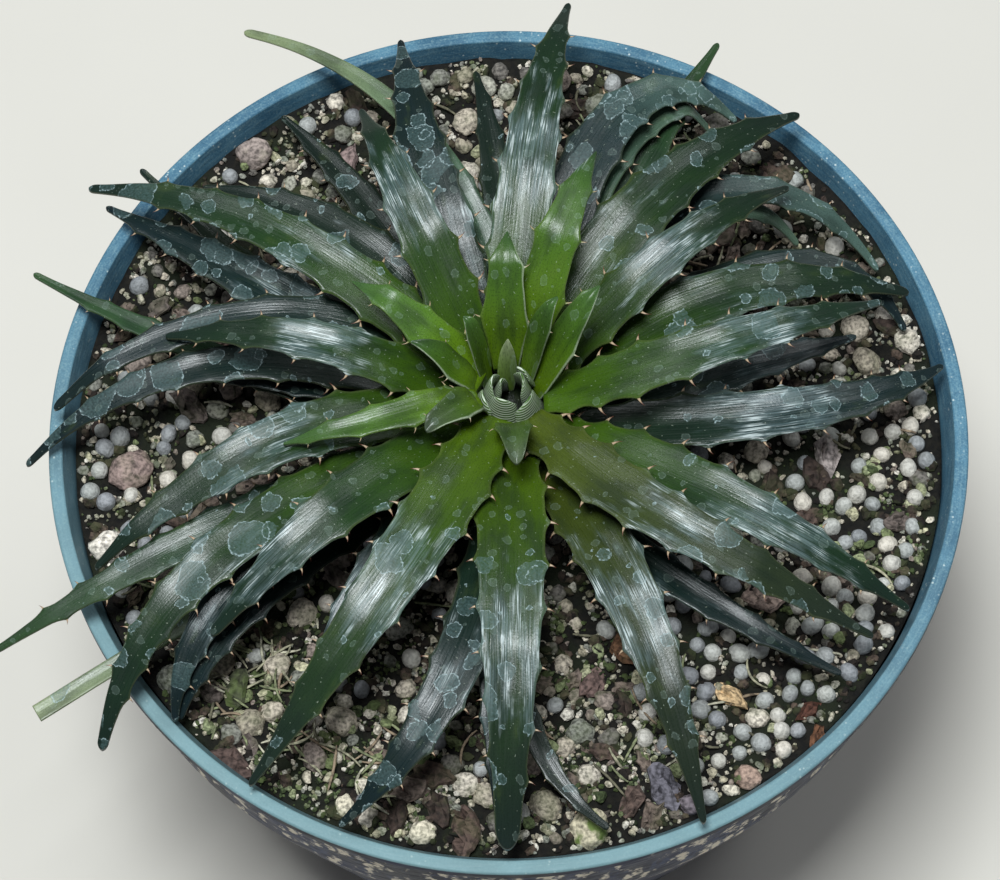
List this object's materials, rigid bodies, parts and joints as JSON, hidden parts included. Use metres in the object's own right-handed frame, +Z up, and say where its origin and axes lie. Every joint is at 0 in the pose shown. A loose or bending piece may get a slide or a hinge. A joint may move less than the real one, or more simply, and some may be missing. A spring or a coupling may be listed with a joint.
{
  "type": "potted dyckia bromeliad",
  "caption": "Rosette of narrow arching leaves with hooked marginal teeth and silvery scale patches, in a round nursery pot of gritty soil.",
  "frame": {"origin": "centre of the pot's underside, on the surface that it stands on", "axes": "+Z up along the pot's axis, +X and +Y in the plane of the underside; the plant's youngest front leaves lean to -Y"},
  "size_m": [0.1618, 0.155, 0.1397],
  "materials": {
    "pot": "weathered pale teal rim, dark slate body with lime deposits",
    "soil": "dark gritty soil with pale pumice, grey prills and bark",
    "old_leaf": "waxy slate green with silvery scale patches",
    "leaf": "waxy green with a silvery sheen and scale patches",
    "heart": "waxy yellow green"
  },
  "bodies": {
    "root": {"pot": "pot", "soil": "soil", "leaf_01": "old_leaf", "leaf_02": "old_leaf", "leaf_03": "old_leaf", "leaf_04": "old_leaf", "leaf_05": "old_leaf", "leaf_06": "old_leaf", "leaf_07": "old_leaf", "leaf_08": "old_leaf", "leaf_09": "old_leaf", "leaf_10": "old_leaf", "leaf_11": "old_leaf", "leaf_12": "old_leaf", "leaf_13": "old_leaf", "leaf_14": "old_leaf", "leaf_15": "old_leaf", "leaf_16": "old_leaf", "leaf_17": "old_leaf", "leaf_18": "old_leaf", "leaf_19": "old_leaf", "leaf_20": "old_leaf", "leaf_21": "old_leaf", "leaf_22": "old_leaf", "leaf_23": "old_leaf", "leaf_24": "old_leaf", "leaf_25": "leaf", "leaf_26": "leaf", "leaf_27": "leaf", "leaf_28": "leaf", "leaf_29": "leaf", "leaf_30": "leaf", "leaf_31": "leaf", "leaf_32": "leaf", "leaf_33": "leaf", "leaf_34": "leaf", "leaf_35": "leaf", "leaf_36": "leaf", "leaf_37": "leaf", "leaf_38": "leaf", "leaf_39": "leaf", "leaf_40": "leaf", "leaf_41": "leaf", "leaf_42": "leaf", "leaf_43": "leaf", "leaf_44": "leaf", "leaf_45": "leaf", "leaf_46": "leaf", "leaf_47": "leaf", "leaf_48": "leaf", "heart": "heart"}
  },
  "joints": []
}
